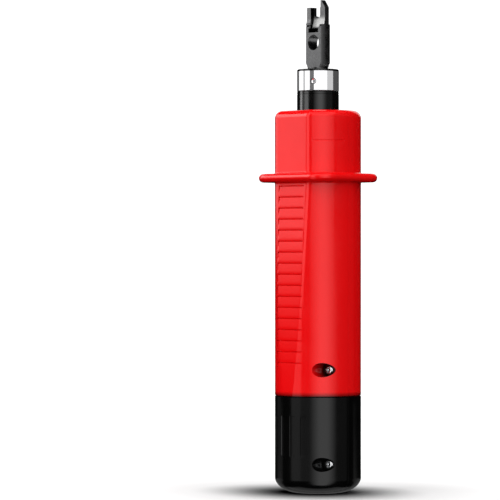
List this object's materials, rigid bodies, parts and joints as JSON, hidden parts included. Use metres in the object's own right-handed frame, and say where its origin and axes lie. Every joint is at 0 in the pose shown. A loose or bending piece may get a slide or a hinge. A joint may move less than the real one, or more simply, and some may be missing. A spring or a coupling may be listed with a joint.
{
  "type": "impact punch down tool",
  "caption": "Spring-loaded impact punch down tool with a guard flange, ribbed grip and quarter-turn forked blade.",
  "frame": {"origin": "centre of the end cap's flat bottom face, on the tool's long axis", "axes": "+Z along the tool towards the blade; the grip's two flats face -Y and +Y; the flange is widest along X"},
  "size_m": [0.04, 0.0344, 0.1918],
  "materials": {
    "red_plastic": "satin moulded, slightly glossy",
    "black_plastic": "satin moulded",
    "zinc_steel": "bright zinc plated",
    "tool_steel": "ground and hardened",
    "blade_steel": "dark satin oxide",
    "black_oxide": "black oxide, satin",
    "chrome": "polished",
    "spring_steel": "drawn wire",
    "acetal": "natural moulded",
    "rubber": "matt"
  },
  "bodies": {
    "housing": {"housing_front": "red_plastic", "housing_rear": "red_plastic", "body_screw_front": "zinc_steel", "body_screw_rear": "zinc_steel", "nose_bushing": "acetal", "bumper_washer": "rubber", "cam_sleeve": "tool_steel", "thrust_washer": "acetal", "main_spring": "spring_steel"},
    "cap": {"cap_front": "black_plastic", "cap_rear": "black_plastic", "cap_screw_front": "zinc_steel", "cap_screw_rear": "zinc_steel", "adjuster_screw": "zinc_steel"},
    "spring_seat": {"spring_seat_nut": "zinc_steel"},
    "plunger": {"spindle": "tool_steel", "nose_sleeve": "black_oxide", "lock_collar": "chrome", "end_ring": "black_oxide", "spindle_clip": "spring_steel", "bayonet_pin_front": "chrome", "bayonet_pin_rear": "chrome", "return_spring": "spring_steel"},
    "blade": {"blade": "blade_steel"},
    "hammer": {"hammer": "tool_steel", "trip_spring": "spring_steel"},
    "trip_plate": {"trip_plate": "tool_steel"}
  },
  "joints": [
    {"name": "plunger_slide", "type": "slide", "parent": "housing", "child": "plunger", "axis": [0, 0, -1], "range_m": [0, 0.009], "stiffness_N_per_m": 1500, "springref_m": -0.005},
    {"name": "hammer_slide", "type": "slide", "parent": "housing", "child": "hammer", "axis": [0, 0, -1], "range_m": [0, 0.0091], "deforming": ["main_spring"]},
    {"name": "trip_plate_slide", "type": "slide", "parent": "hammer", "child": "trip_plate", "axis": [-1, 0, 0], "range_m": [0, 0.00152], "deforming": ["trip_spring"]},
    {"name": "cap_turn", "type": "hinge", "parent": "housing", "child": "cap", "pos_m": [0, 0, 0.02], "axis": [0, 0, 1], "range_deg": [0, 180]},
    {"name": "spring_seat_slide", "type": "slide", "parent": "housing", "child": "spring_seat", "axis": [0, 0, 1], "range_m": [0, 0.00302], "deforming": ["main_spring"]},
    {"name": "blade_turn", "type": "hinge", "parent": "plunger", "child": "blade", "pos_m": [0, 0, 0.1605], "axis": [0, 0, 1], "range_deg": [0, 90]}
  ],
  "couplings": [
    {"joint": "hammer_slide", "follows": "plunger_slide", "ratio": 1},
    {"joint": "trip_plate_slide", "follows": "plunger_slide", "ratio": 0.16667},
    {"joint": "spring_seat_slide", "follows": "cap_turn", "m_per_rad": 0.00095493}
  ]
}
